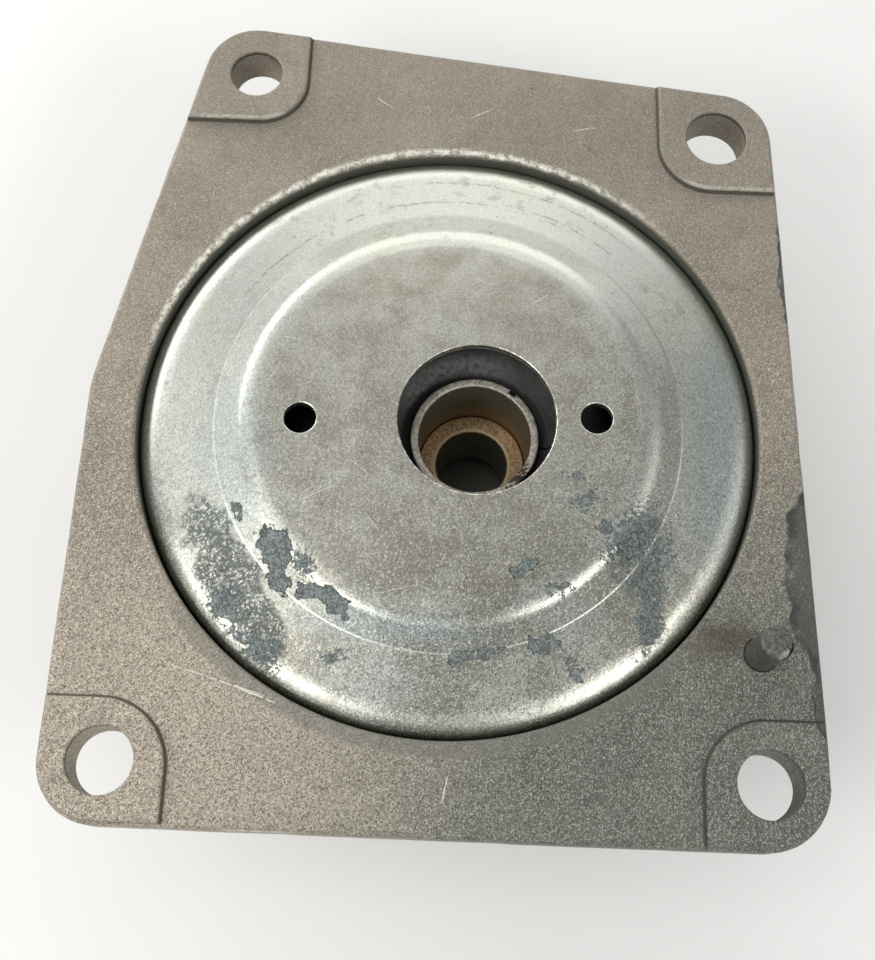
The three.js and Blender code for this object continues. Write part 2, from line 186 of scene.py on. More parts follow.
SLEEVE_R = 10.6
SLEEVE_BORE = 9.3
NOTCH = (1.5, 1.3, 4.4)
NOTCH_WAY = math.radians(51)
BUSH_BORE = 6.15

ROUND = 192
PIN_ROUND = 96

# How a pad rises: distance in from its line, and height. First its soft inner slope, then its edge
# along the plate's outline.
PAD_SLOPE = [
    (-0.25, -1.0), (-0.25, -0.02), (0.05, 0.12), (0.28, 0.62), (0.42, 0.86), (0.65, 0.97), (1.1, 1.0),
]
PAD_EDGE = [(0, -2.0), (0, 0.45), (0.08, 0.75), (0.28, 0.93), (0.6, 1.0)]

# ---- Mesh helpers -------------------------------------------------------------------------


def rounded(corners, closed=True, steps=5):
    """A profile of (a, b, radius) corners as plain points, each corner an arc of its radius."""
    points = []
    count = len(corners)
    for i, (a, b, radius) in enumerate(corners):
        here = Vector((a, b))
        if not radius or (not closed and i in (0, count - 1)):
            points.append(here)
            continue
        before = Vector(corners[i - 1][:2]) - here
        after = Vector(corners[(i + 1) % count][:2]) - here
        half = before.angle(after) / 2
        reach = radius / math.tan(half)
        start = here + before.normalized() * reach
        end = here + after.normalized() * reach
        centre = here + (before.normalized() + after.normalized()).normalized() * radius / math.sin(half)
        sweep = (start - centre).angle_signed(end - centre)
        for k in range(steps + 1):
            arm = start - centre
            arm.rotate(Matrix.Rotation(-sweep * k / steps, 2))
            points.append(centre + arm)
    return [(p[0], p[1]) for p in points]


def arc(r, z, radius, start, end, steps):
    """Points of an arc in the (r, z) plane, angles in radians from the +r direction."""
    angles = [start + (end - start) * i / steps for i in range(steps + 1)]
    return [(r + radius * math.cos(a), z + radius * math.sin(a)) for a in angles]


def skin(loops, closed_rings=False):
    """A bmesh through loops of points. A loop of one point is a pole. Without closed_rings, the
    first and last loops are closed with a face."""
    bm = bmesh.new()
    rows = [[bm.verts.new(p) for p in loop] for loop in loops]
    pairs = list(zip(rows, rows[1:]))
    if closed_rings:
        pairs.append((rows[-1], rows[0]))
    for low, high in pairs:
        count = max(len(low), len(high))
        for i in range(count):
            j = (i + 1) % count
            around = [low[i % len(low)], low[j % len(low)], high[j % len(high)], high[i % len(high)]]
            bm.faces.new(list(dict.fromkeys(around)))
    if not closed_rings:
        for row in (rows[0], rows[-1]):
            if len(row) > 2:
                bm.faces.new(row)
    bmesh.ops.recalc_face_normals(bm, faces=bm.faces)
    return bm


def revolve(profile, steps=ROUND, centre=(0, 0), shape=None):
    """A turned body. The profile starts and ends on the axis, or else closes on itself."""
    solid = abs(profile[0][0]) < 1e-9 and abs(profile[-1][0]) < 1e-9
    loops = []
    for r, z in profile:
        if r < 1e-9:
            loops.append([(centre[0], centre[1], z)])
            continue
        loop = []
        for k in range(steps):
            a = 2 * math.pi * k / steps
            point = Vector((centre[0] + r * math.cos(a), centre[1] + r * math.sin(a), z))
            loop.append(shape(point, r, a) if shape else point)
        loops.append(loop)
    return skin(loops, closed_rings=not solid)


def mesh_object(name, bm):
    mesh = bpy.data.meshes.new(name)
    bm.to_mesh(mesh)
    bm.free()
    made = bpy.data.objects.new(name, mesh)
    bpy.context.scene.collection.objects.link(made)
    return made


def combine(target, tools, operation):
    """Joins tools to target, or cuts them from it, and removes them."""
    for tool in tools:
        step = target.modifiers.new("combine", "BOOLEAN")
        step.operation = operation
        step.solver = "EXACT"
        step.object = tool
        bpy.context.view_layer.update()
        done = bpy.data.meshes.new_from_object(target.evaluated_get(bpy.context.evaluated_depsgraph_get()))
        target.modifiers.clear()
        target.data = done
        bpy.data.objects.remove(tool)
    return target


def drill(x, y, r, bottom, top, flare=0.3, steps=PIN_ROUND):
    """A cutter for a round hole from bottom to top, which rounds the hole's two edges."""
    quarter = math.pi / 2
    low = arc(r + flare, bottom + flare, flare, -quarter, -2 * quarter, 4)
    high = arc(r + flare, top - flare, flare, 2 * quarter, quarter, 4)
    profile = [(0, bottom - 1), (r + flare, bottom - 1), *low, *high, (r + flare, top + 1), (0, top + 1)]
    return mesh_object("cutter", revolve(profile, steps, (x, y)))


def piece(made, node, body, slot, material, place, smooth=32):
    """Puts a finished mesh in its place in the frame, in the stead of its CAD node."""
    made.name = node + "_fine"
    bm = bmesh.new()
    bm.from_mesh(made.data)
    bmesh.ops.remove_doubles(bm, verts=bm.verts, dist=1e-4)
    bmesh.ops.dissolve_degenerate(bm, edges=bm.edges, dist=1e-4)
    for face in bm.faces:
        face.smooth = True
    for edge in bm.edges:
        edge.smooth = edge.calc_face_angle(math.pi) < math.radians(smooth)
    bm.to_mesh(made.data)
    bm.free()
    made.data.transform(place)
    made.data.materials.clear()
    made.data.materials.append(material)
    weighted = made.modifiers.new("weighted normals", "WEIGHTED_NORMAL")
    weighted.keep_sharp = True
    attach(made, body)
    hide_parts(node)
    return made


# ---- Finishes -----------------------------------------------------------------------------


class Finish:
    """A material in the making: each call adds nodes and returns the socket that they end in."""

    def __init__(self, name, metallic, roughness):
        self.material = bpy.data.materials.new(name)
        self.material.use_nodes = True
        self.tree = self.material.node_tree
        self.shader = self.tree.nodes["Principled BSDF"]
        self.shader.inputs["Metallic"].default_value = metallic
        self.shader.inputs["Roughness"].default_value = roughness
        self.place = self.node("ShaderNodeTexCoord").outputs["Object"]
        self.colour = None

    def put(self, socket, value):
        """Links a socket to another one, or gives it a plain value."""
        if isinstance(value, bpy.types.NodeSocket):
            self.tree.links.new(value, socket)
        else:
            socket.default_value = value

    def node(self, kind, inputs=(), **settings):
        made = self.tree.nodes.new(kind)
        for name, value in settings.items():
            setattr(made, name, value)
        for name, value in dict(inputs).items():
            self.put(made.inputs[name], value)
        return made

    def math(self, operation, a, b=0.0, clamp=False):
        made = self.node("ShaderNodeMath", {0: a, 1: b}, operation=operation, use_clamp=clamp)
        return made.outputs[0]

    def times(self, *values):
        """The product of two or more values."""
        total = values[0]
        for value in values[1:]:
            total = self.math("MULTIPLY", total, value)
        return total

    def plus(self, a, b):
        return self.math("ADD", a, b)

    def most(self, a, b):
        return self.math("MAXIMUM", a, b)

    def noise(self, size, detail=3.0, rough=0.55, at=None, distortion=0.0):
        """Noise with features about size millimetres across, from 0 to 1."""
        values = {
            "Vector": at or self.place,
            "Scale": 1 / (size * MM),
            "Detail": detail,
            "Roughness": rough,
            "Distortion": distortion,
        }
        return self.node("ShaderNodeTexNoise", values).outputs["Fac"]

    def grains(self, size):
        """Grains about size millimetres across, each with its own value from 0 to 1."""
        values = {"Vector": self.place, "Scale": 1 / (size * MM)}
        return self.node("ShaderNodeTexVoronoi", values).outputs["Color"]

    def step(self, value, low, high):
        """0 below low, 1 above high, and a smooth rise between. low may be above high."""
        values = {"Value": value, "From Min": low, "From Max": high}
        return self.node("ShaderNodeMapRange", values, interpolation_type="SMOOTHSTEP").outputs[0]

    def patches(self, size, detail, rough, low, high):
        """Patches of noise, whose edges run from the value low to the value high."""
        return self.step(self.noise(size, detail, rough), low, high)

    def mix(self, factor, a, b):
        """From colour a to colour b. Each is a socket, or else red, green and blue."""
        made = self.node("ShaderNodeMix", data_type="RGBA")
        self.put(made.inputs[0], factor)
        for index, colour in ((6, a), (7, b)):
            self.put(made.inputs[index], (*colour, 1) if isinstance(colour, tuple) else colour)
        return made.outputs[2]

    def over(self, colour, mask, share, laid):
        """The colour, with another one laid over a share of it where the mask is 1."""
        return self.mix(self.times(mask, share), colour, laid)

    def lay(self, mask, share, laid):
        """Lays another colour over the material's own."""
        self.colour = self.over(self.colour, mask, share, laid)

    def wobble(self, size, amount):
        """The place, pushed about by noise of that size, by up to about amount millimetres."""
        values = {"Vector": self.place, "Scale": 1 / (size * MM), "Detail": 3.0}
        colour = self.node("ShaderNodeTexNoise", values).outputs["Color"]
        centred = self.node("ShaderNodeVectorMath", {0: colour, 1: (0.5, 0.5, 0.5)}, operation="SUBTRACT")
        push = self.node("ShaderNodeVectorMath", {0: centred.outputs[0]}, operation="SCALE")
        push.inputs["Scale"].default_value = 2 * amount * MM
        moved = self.node("ShaderNodeVectorMath", {0: self.place, 1: push.outputs[0]}, operation="ADD")
        return moved.outputs[0]

    def spot(self, x, y, rx, ry, turn=0.0, at=None):
        """1 at the middle of an ellipse in the plane, 0 on its edge. Bore frame, millimetres."""
        centre = BORE_FRAME @ Vector((x, y, 0))
        values = {
            "Vector": at or self.place,
            "Location": centre,
            "Rotation": (0, 0, math.radians(turn)),
            "Scale": (rx * MM, ry * MM, 1e3),
        }
        local = self.node("ShaderNodeMapping", values, vector_type="TEXTURE").outputs[0]
        length = self.node("ShaderNodeVectorMath", {0: local}, operation="LENGTH").outputs["Value"]
        return self.math("SUBTRACT", 1.0, length, clamp=True)

    def spots(self, places, at=None):
        """The strongest of several spots at each point."""
        total = None
        for values in places:
            one = self.spot(*values, at=at)
            total = one if total is None else self.most(total, one)
        return total

    def radius(self, offset=(0, 0), at=None):
        """Distance from the bore axis, or from a line beside it, in millimetres."""
        centre = BORE_FRAME @ Vector((*offset, 0))
        values = {"Vector": at or self.place, "Location": centre, "Scale": (MM, MM, 1e6)}
        local = self.node("ShaderNodeMapping", values, vector_type="TEXTURE").outputs[0]
        return self.node("ShaderNodeVectorMath", {0: local}, operation="LENGTH").outputs["Value"]

    def axis(self, index):
        """A coordinate in the bore frame, in millimetres."""
        values = {"Vector": self.place, "Location": BORE_FRAME.translation, "Scale": (MM, MM, MM)}
        local = self.node("ShaderNodeMapping", values, vector_type="TEXTURE").outputs[0]
        return self.node("ShaderNodeSeparateXYZ", {0: local}).outputs[index]

    def bump(self, height, depth, below=None):
        """Bump of about depth millimetres, on top of an earlier bump."""
        values = {"Height": height, "Distance": depth * MM, "Strength": 1.0}
        if below:
            values["Normal"] = below
        return self.node("ShaderNodeBump", values).outputs[0]

    def finish(self, roughness=None, normal=None):
        self.put(self.shader.inputs["Base Color"], self.colour)
        if roughness is not None:
            self.put(self.shader.inputs["Roughness"], roughness)
        if normal is not None:
            self.put(self.shader.inputs["Normal"], normal)
        return self.material


def cast_metal():
    """Sand-grained cast aluminium: warm grey, paler on the near left as painted light and darker and
    cooler on the near right as painted shade, bright round the far side of the bore, partly rubbed and
    partly a painted highlight, stained along the right edge."""
    f = Finish("cast_metal", 0.55, 0.6)
    grain = f.grains(0.17)
    warm = f.mix(f.patches(15, 4, 0.6, 0.3, 0.7), (0.250, 0.222, 0.182), (0.310, 0.275, 0.224))
    # Painted shade: the near right is darker and cooler, and so are its pale grains.
    cool_right_shade = f.mix(f.patches(11, 4, 0.6, 0.35, 0.7), (0.115, 0.127, 0.107), (0.155, 0.158, 0.134))
    right = f.step(f.spot(46, -70, 110, 86), 0.05, 0.75)
    f.colour = f.mix(right, warm, cool_right_shade)
    # Painted light: paler on the near left.
    pale = f.step(f.spot(-44, -54, 62, 50), 0.0, 0.8)
    f.lay(pale, 0.85, (0.40, 0.352, 0.284))
    coarse = f.plus(0.30, f.times(f.step(f.axis(1), 60, -60), 0.50))
    light = f.mix(right, (0.80, 0.735, 0.62), (0.46, 0.485, 0.43))
    f.lay(f.step(grain, 0.52, 0.95), coarse, light)
    f.lay(f.step(grain, 0.46, 0.12), coarse, (0.060, 0.058, 0.046))
    # Painted shade lies along the foot of each pad, and painted highlights on the far pads' upper edges.
    height = f.axis(2)
    pad_foot_shade = f.times(f.step(height, 0.01, 0.06), f.step(height, 0.80, 0.45))
    f.lay(pad_foot_shade, 0.8, (0.050, 0.047, 0.038))
    # Painted highlight on the far pads' slopes that face the viewer, broken up in patches.
    pad_brow_highlight = f.times(f.step(height, 0.55, 0.75), f.step(height, 0.999, 0.97))
    facing = f.spots([(-35.0, 54.6, 13.0, 2.6, 0), (45.0, 44.2, 13.0, 2.6, 0)])
    pad_brow_highlight = f.times(pad_brow_highlight, f.step(facing, 0.0, 0.3), f.patches(1.2, 4, 0.7, 0.30, 0.55))
    f.lay(pad_brow_highlight, 0.6, (0.60, 0.58, 0.51))
    pits = f.patches(1.3, 4, 0.65, 0.33, 0.27)
    f.lay(pits, 0.6, (0.06, 0.056, 0.047))
    grime = f.patches(5, 5, 0.65, 0.56, 0.74)
    f.lay(grime, 0.35, (0.105, 0.10, 0.082))
    # The lip of the bore: bright on its far side, partly rubbed and partly a painted highlight; smooth
    # and grey on its near side.
    lip = f.radius(at=f.wobble(2.2, 0.5))
    band = f.times(f.step(lip, 49.9, 50.3), f.step(lip, 51.5, 50.5))
    broken = f.patches(1.3, 5, 0.8, 0.38, 0.60)
    above = f.step(f.axis(2), -2.0, -0.8)
    worn = f.times(band, broken, above)
    worn = f.times(worn, f.step(f.spot(*polar(50, 112), 60, 50), 0.0, 0.35))
    f.lay(worn, 0.90, (0.86, 0.85, 0.77))
    smooth = f.times(f.step(lip, 53.0, 52.0), f.step(f.spot(-8, -52, 62, 34), 0.0, 0.3))
    f.lay(smooth, 0.55, (0.155, 0.150, 0.132))
    # Dark grey-green wall of the bore: painted shade.
    inside = f.times(f.step(f.radius(), 50.25, 50.05), f.step(f.axis(2), -0.5, -1.2))
    f.lay(inside, 0.9, (0.13, 0.146, 0.118))
    # Scratches on the near left, small ones elsewhere, and pale streaks along the plate's near and
    # right edges.
    at = f.wobble(2.5, 0.22)
    lines = [(-33.0, -42.3, 10.5, 0.12, -16), (-27.5, -44.2, 4.5, 0.18, -19), (53.2, 10.4, 2.4, 0.12, 58)]
    lines += [(52.9, 10.9, 2.0, 0.12, -45), (1.2, -57, 2.4, 0.14, 80), (-38.6, -26.5, 7.0, 0.14, -58)]
    lines += [(4.0, 58.5, 3.0, 0.10, 30), (-13.0, 60.0, 2.4, 0.10, -35), (22.0, 56.0, 2.6, 0.10, 12)]
    lines += [(58.2, -54.5, 0.7, 4.2, 4), (-25.0, -63.9, 8.0, 0.28, -1), (57.6, -30, 0.5, 3.0, 3)]
    scratch = f.times(f.step(f.spots(lines, at), 0.05, 0.4), f.patches(1.1, 3, 0.6, 0.36, 0.5))
    scratch = f.times(scratch, f.step(f.axis(2), -0.9, -0.4))
    f.lay(scratch, 0.85, (0.74, 0.71, 0.64))
    # Dark stain along the right edge, and a brown painted shadow beside the pin.
    ragged = f.wobble(5, 2.2)
    edge = f.spots([(59.5, -25, 7.0, 17, 4), (57.0, 28, 2.6, 12, 2), (59, -42, 3.4, 8, 4)], ragged)
    edge = f.times(edge, f.step(f.axis(2), -6.0, -1.0))
    stain = f.times(f.step(edge, 0.02, 0.10), f.patches(1.5, 5, 0.75, 0.26, 0.46))
    f.lay(stain, 0.74, (0.070, 0.080, 0.071))
    outline = f.times(f.step(edge, 0.02, 0.07), f.step(edge, 0.26, 0.09))
    outline = f.times(outline, f.patches(3, 4, 0.7, 0.36, 0.56))
    f.lay(outline, 0.75, (0.034, 0.040, 0.036))
    salt = f.times(f.patches(0.9, 4, 0.75, 0.63, 0.69), f.step(edge, 0.05, 0.3))
    f.lay(salt, 0.6, (0.48, 0.50, 0.46))
    # Painted shadow of the pin, brown, on the plate to its left.
    brown = f.spot(42.5, -33.6, 8.0, 4.2, 12, f.wobble(5, 1.2))
    brown = f.times(f.step(brown, 0, 0.8), f.step(f.axis(2), -1.5, -0.5))
    f.lay(brown, 0.6, (0.085, 0.066, 0.045))
    rough = f.plus(f.times(grain, 0.22), 0.48)
    rough = f.math("SUBTRACT", rough, f.times(f.most(worn, smooth), 0.16))
    normal = f.bump(f.noise(0.42, 3, 0.7), 0.22)
    normal = f.bump(f.noise(1.5, 3, 0.6), 0.12, normal)
    return f.finish(rough, normal)


# Blue-grey corrosion on the cap: x, y, half length, half width, turn. The first list is solid
# blotches, the second is broken speckle, and the third is a thin grey haze.
BLOTCHES = [
    (-26.0, -21.7, 4.4, 3.2, -60), (-25.0, -26.2, 4.4, 1.6, -74), (-19.6, -28.7, 3.8, 1.2, -14),
    (-16.0, -30.4, 3.4, 1.7, -50), (-32.2, -16.2, 1.8, 0.9, -70), (12.2, -23.8, 2.6, 1.4, 25),
    (3.2, -37.6, 2.6, 1.2, 20), (7.4, -36.6, 2.6, 1.0, 6), (15.4, -35.2, 3.0, 1.9, 10),
    (20.4, -39.6, 1.9, 1.3, -35), (19.2, -37.6, 1.2, 0.7, 20), (24.4, -17.2, 1.8, 1.2, 30),
    (28.5, -19.5, 2.4, 1.5, 50),
]
SPECKLE = [
    (-21.3, -24.6, 4.6, 3.0, -48), (-33.0, -30.0, 7.0, 4.6, -56), (-27.5, -37.0, 6.5, 3.8, -46),
    (29.0, -17.5, 9.5, 5.6, 42), (32.0, -24.0, 8.5, 4.8, 68), (31.5, -31.0, 7.0, 3.2, 76),
    (21.5, -13.0, 5.5, 3.4, 20), (-16.5, -38.5, 3.2, 2.0, 0), (20.0, -9.0, 3.0, 2.0, 0),
    (17.5, -27.5, 3.2, 1.4, 20),
]
HAZE = [
    (-35.0, -22.5, 11.5, 4.8, -62), (-29.0, -32.5, 9.0, 4.4, -54), (-32.0, -27.0, 7.0, 5.0, -50),
    (30.5, -21.0, 9.0, 4.2, 55), (32.0, -30.0, 7.0, 2.6, 78),
]
# Fine scratches: x, y, half length, half width, turn.
SCRATCHES = [
    (-20.0, -13.2, 4.6, 0.11, 27), (-25.8, 12.8, 1.8, 0.12, -12), (14.2, 21.3, 2.2, 0.11, 32),
    (-13.5, -8.8, 3.4, 0.09, -38), (-11.0, -17.8, 2.2, 0.10, -52), (4.6, 24.4, 1.4, 0.12, -34),
    (-28.0, 7.0, 2.6, 0.09, 62), (-7.0, -28.0, 3.6, 0.09, 14), (27.0, 5.2, 2.0, 0.10, 40),
    (-12.8, -38.6, 4.2, 0.10, -24), (-19.0, -12.0, 3.2, 0.08, 34), (6.0, -16.5, 2.4, 0.08, 58),
]


def broken_ring(f, r, way, reach, size):
    """A dark line round the bore axis, broken up, and only near one place on the ring."""
    line = f.radius(at=f.wobble(6, 0.35))
    line = f.times(f.step(line, r - 0.32, r - 0.04), f.step(line, r + 0.32, r + 0.04))
    nearby = f.step(f.spot(*polar(r, way), reach, reach), 0.0, 0.25)
    return f.times(line, f.patches(size, 5, 0.8, 0.42, 0.64), nearby)


def zinc_plate():
    """Satin zinc plate on pressed sheet: brownish on the plateau, finely scratched and specked, with
    blue-grey corrosion on the near side."""
    f = Finish("zinc_plate", 1.0, 0.32)
    out = f.radius()
    tint = f.patches(20, 3, 0.55, 0.38, 0.64)
    f.colour = f.mix(tint, (0.590, 0.612, 0.562), (0.625, 0.626, 0.552))
    plateau = f.step(out, 32.0, 28.5)
    brown = f.mix(f.patches(7, 4, 0.65, 0.36, 0.66), (0.545, 0.528, 0.462), (0.375, 0.348, 0.282))
    f.lay(plateau, 0.85, brown)
    # Darker olive towards the near side: partly the plate's own tone, partly painted shade.
    near = f.step(f.plus(f.axis(1), f.times(f.noise(14, 3, 0.6), 24.0)), 0.0, -14.0)
    olive = f.times(near, f.patches(9, 4, 0.6, 0.34, 0.62))
    f.lay(olive, 0.72, (0.310, 0.295, 0.236))
    # Painted reflection: the slope between the bend and the crease is darkened where it mirrors dark
    # surroundings, on the near right and the far side.
    slope_dark_reflection = f.times(f.step(out, 33.5, 34.6), f.step(out, 37.3, 37.0))
    slope_dark_reflection = f.times(slope_dark_reflection, f.step(f.spots([(20, -22, 44, 34, 35), (0, 38, 40, 16)]), 0.0, 0.3))
    f.lay(slope_dark_reflection, 0.55, (0.36, 0.355, 0.31))
    blue = f.spots([(-34, -6, 9, 17, 8), (43, -2, 7, 26, -4), (-8, -33.5, 22, 3.4, -4)])
    f.lay(f.step(blue, 0.0, 0.7), 0.55, (0.46, 0.54, 0.55))
    # Fine grain, dull specks and small grimy patches all over.
    grain = f.grains(0.20)
    coarse = f.plus(0.15, f.times(f.step(f.axis(1), 48, -48), 0.62))
    f.lay(f.step(grain, 0.48, 0.10), coarse, (0.24, 0.235, 0.20))
    f.lay(f.step(grain, 0.54, 0.95), coarse, (0.92, 0.92, 0.86))
    fleck = f.patches(0.95, 4, 0.7, 0.655, 0.70)
    f.lay(fleck, 0.7, (0.17, 0.17, 0.15))
    grime = f.times(f.patches(3.0, 5, 0.75, 0.535, 0.66), f.patches(17, 2, 0.5, 0.36, 0.6))
    f.lay(grime, 0.55, (0.30, 0.285, 0.235))
    # Broken rings rubbed into the far side.
    rings = broken_ring(f, 44.3, 78, 26, 2.6)
    for r, way, reach, size in [(40.2, 104, 34, 3.2), (41.0, 62, 14, 1.8)]:
        rings = f.most(rings, broken_ring(f, r, way, reach, size))
    f.lay(rings, 0.60, (0.15, 0.155, 0.135))
    # Corrosion.
    at = f.wobble(2.0, 1.9)
    ragged = f.times(f.noise(0.7, 5, 0.8), 0.46)
    shape = f.plus(f.spots(BLOTCHES, at), ragged)
    solid = f.step(shape, 0.40, 0.43)
    loose = f.times(f.spots(SPECKLE, f.wobble(3.4, 2.4)), 0.30)
    broken = f.step(f.plus(loose, f.noise(0.62, 5, 0.80)), 0.62, 0.67)
    broken = f.times(broken, f.step(loose, 0.0, 0.05))
    mottle = f.times(f.step(f.grains(0.30), 0.10, 0.50), f.patches(2.6, 5, 0.75, 0.28, 0.50))
    haze = f.times(f.step(f.spots(HAZE, f.wobble(3, 2.6)), 0.03, 0.30), mottle)
    corroded = f.most(solid, broken)
    dull = f.mix(f.step(f.grains(0.26), 0.30, 0.75), (0.110, 0.130, 0.130), (0.270, 0.312, 0.312))
    dull = f.over(dull, f.step(shape, 0.56, 0.44), solid, (0.060, 0.074, 0.078))
    f.lay(haze, 0.85, (0.132, 0.152, 0.148))
    f.lay(corroded, 0.90, dull)
    # Scratches: drawn ones, and short ones scattered in all directions.
    drawn = f.step(f.spots(SCRATCHES, f.wobble(3, 0.2)), 0.05, 0.5)
    scattered = None
    for turn in (20, 75, 140):
        values = {"Vector": f.place, "Rotation": (0, 0, math.radians(turn)), "Scale": (16.0, 1.0, 1.0)}
        along = f.node("ShaderNodeMapping", values, vector_type="TEXTURE").outputs[0]
        mark = f.step(f.noise(0.22, 2, 0.5, at=along), 0.70, 0.73)
        scattered = mark if scattered is None else f.most(scattered, mark)
    marks = f.most(drawn, f.times(scattered, 0.55))
    marks = f.times(marks, f.math("SUBTRACT", 1.0, corroded))
    f.lay(marks, 0.6, (0.92, 0.92, 0.87))
    # The crease carries a painted highlight on its near side and painted shade on its far side. The
    # burred edges of the holes are painted bright, partly bare metal and partly highlight.
    crease = f.times(f.step(out, 37.10, 37.22), f.step(out, 37.55, 37.42))
    shaded = f.times(crease, f.step(f.axis(1), -4.0, 16.0))
    f.lay(shaded, 0.55, (0.36, 0.37, 0.33))
    crease = f.times(crease, f.step(f.axis(1), 16.0, -8.0))
    burr = f.math("SUBTRACT", f.radius(BUSH_AT), CAP_HOLE_R)
    for side in (-1, 1):
        where = CARTRIDGE_TURN @ Vector((side * SPANNER_AT, 0))
        burr = f.math("MINIMUM", burr, f.math("SUBTRACT", f.radius(where), SPANNER_R))
    burr = f.times(f.step(burr, 0.34, 0.16), f.patches(1.3, 4, 0.7, 0.48, 0.60))
    # Painted highlights on the near side of the crease and on the hole edges.
    bright = f.most(f.times(crease, 0.45), burr)
    bright = f.times(bright, f.math("SUBTRACT", 1.0, corroded))
    f.lay(bright, 0.85, (0.95, 0.95, 0.90))
    rough = f.plus(0.27, f.times(grain, 0.12))
    rough = f.plus(rough, f.times(f.most(corroded, haze), 0.36))
    rough = f.plus(rough, f.times(grime, 0.08))
    normal = f.bump(f.noise(0.36, 3, 0.7), 0.024)
    normal = f.bump(f.noise(9, 2, 0.5), 0.05, normal)
    normal = f.bump(f.times(corroded, f.noise(0.5, 3, 0.7)), 0.12, normal)
    return f.finish(rough, normal)


def plain_steel(name, colour, dark, roughness, grain=0.6, metallic=1.0):
    """Steel with a fine grain and cloudy patches of a darker tone."""
    f = Finish(name, metallic, roughness)
    cloud = f.patches(6, 4, 0.6, 0.38, 0.68)
    f.colour = colour
    f.lay(cloud, 0.6, dark)
    fine = f.noise(grain, 4, 0.65)
    f.lay(f.step(fine, 0.5, 0.75), 0.4, dark)
    rough = f.plus(roughness - 0.08, f.times(fine, 0.18))
    return f.finish(rough, f.bump(fine, 0.03))


def black_rubber():
    """Aged moulded rubber with specks of dust."""
    f = Finish("black_rubber", 0.0, 0.55)
    f.shader.inputs["Specular IOR Level"].default_value = 0.22
    cloud = f.patches(5, 4, 0.6, 0.35, 0.7)
    f.colour = f.mix(cloud, (0.018, 0.020, 0.019), (0.050, 0.052, 0.048))
    dust = f.patches(0.5, 4, 0.7, 0.60, 0.72)
    f.lay(dust, 0.4, (0.17, 0.165, 0.155))
    # A painted sheen lies on the shoulder round the sleeve, at the far left.
    r = f.radius(BUSH_AT)
    shoulder_sheen = f.times(f.step(r, 11.6, 13.0), f.step(r, 16.0, 13.8))
    shoulder_sheen = f.times(shoulder_sheen, f.step(f.spot(-1.0, 13.0, 15, 13), 0.0, 0.6))
    shoulder_sheen = f.times(shoulder_sheen, f.patches(0.9, 4, 0.7, 0.25, 0.65))
    f.lay(shoulder_sheen, 0.75, (0.20, 0.205, 0.195))
    rough = f.plus(0.36, f.times(cloud, 0.2))
    normal = f.bump(f.noise(0.6, 4, 0.7), 0.12)
    return f.finish(rough, normal)


def sleeve_metal():
    """Grainy sandy-grey end face, olive-brown bore that turns orange-brown towards the bush."""
    f = Finish("sleeve_metal", 0.75, 0.55)
    grain = f.noise(0.45, 4, 0.7)
    face = f.mix(f.step(grain, 0.36, 0.66), (0.33, 0.30, 0.25), (0.74, 0.69, 0.60))
    depth = f.axis(2)
    wall = f.mix(f.step(depth, -13.5, -19.5), (0.225, 0.205, 0.140), (0.370, 0.250, 0.140))
    wall = f.over(wall, f.patches(2.6, 4, 0.6, 0.5, 0.75), 0.5, (0.12, 0.105, 0.07))
    f.colour = f.mix(f.step(depth, -6.75, -6.95), face, wall)
    # Black specks and a chipped inner edge on the near right.
    hurt = f.spot(BUSH_AT[0] + 7.2, BUSH_AT[1] - 6.4, 6.0, 4.2, -48)
    pits = f.step(f.plus(f.times(hurt, 0.35), f.noise(0.8, 4, 0.7)), 0.66, 0.72)
    f.lay(pits, 0.9, (0.02, 0.018, 0.014))
    rough = f.plus(0.40, f.times(grain, 0.26))
    return f.finish(rough, f.bump(grain, 0.09))


def bronze():
    """Rough coppery end face with bright rubbed edges, and a greyer bore."""
    f = Finish("bronze", 0.85, 0.45)
    grain = f.grains(0.28)
    face = f.mix(f.step(grain, 0.10, 0.90), (0.36, 0.245, 0.135), (0.82, 0.60, 0.38))
    r = f.radius(BUSH_AT, f.wobble(1.6, 0.12))
    inner = f.times(f.step(r, 6.1, 6.3), f.step(r, 6.95, 6.6))
    outer = f.step(r, 8.75, 8.95)
    edge = f.most(inner, outer)
    face = f.over(face, edge, 0.7, (0.84, 0.68, 0.47))
    top = level("bronze_bush")
    wall = f.mix(f.noise(3, 3, 0.6), (0.33, 0.325, 0.275), (0.48, 0.46, 0.38))
    f.colour = f.mix(f.step(f.axis(2), top - 0.45, top - 0.75), face, wall)
    rough = f.plus(0.34, f.times(grain, 0.28))
    return f.finish(rough, f.bump(grain, 0.07))


def pin_metal():
    """Dark rough side, with a worn grey top and a bright broken patch at the near right."""
    f = Finish("pin_metal", 0.7, 0.5)
    grain = f.noise(0.5, 4, 0.7)
    side = f.mix(f.step(grain, 0.35, 0.7), (0.085, 0.088, 0.077), (0.20, 0.202, 0.178))
    top = f.mix(f.step(grain, 0.35, 0.66), (0.070, 0.076, 0.068), (0.19, 0.197, 0.178))
    f.colour = f.mix(f.step(f.axis(2), 9.1, 9.7), side, top)
    chip = f.spot(pin_axis.x + 1.2, pin_axis.y - 1.8, 1.6, 0.9, 30, f.wobble(0.9, 0.35))
    chip = f.times(f.step(chip, 0.05, 0.4), f.step(f.axis(2), 7.6, 8.2))
    f.lay(chip, 0.6, (0.48, 0.485, 0.45))
    rough = f.plus(0.36, f.times(grain, 0.3))
    return f.finish(rough, f.bump(grain, 0.12))


def acetal():
    """Off-white plastic, faintly mottled and greyed with wear."""
    f = Finish("acetal", 0.0, 0.42)
    f.colour = f.mix(f.noise(5, 4, 0.6), (0.60, 0.57, 0.50), (0.78, 0.75, 0.68))
    return f.finish(f.plus(0.34, f.times(f.noise(1.5), 0.2)), f.bump(f.noise(0.6), 0.01))


# ---- Base casting -------------------------------------------------------------------------


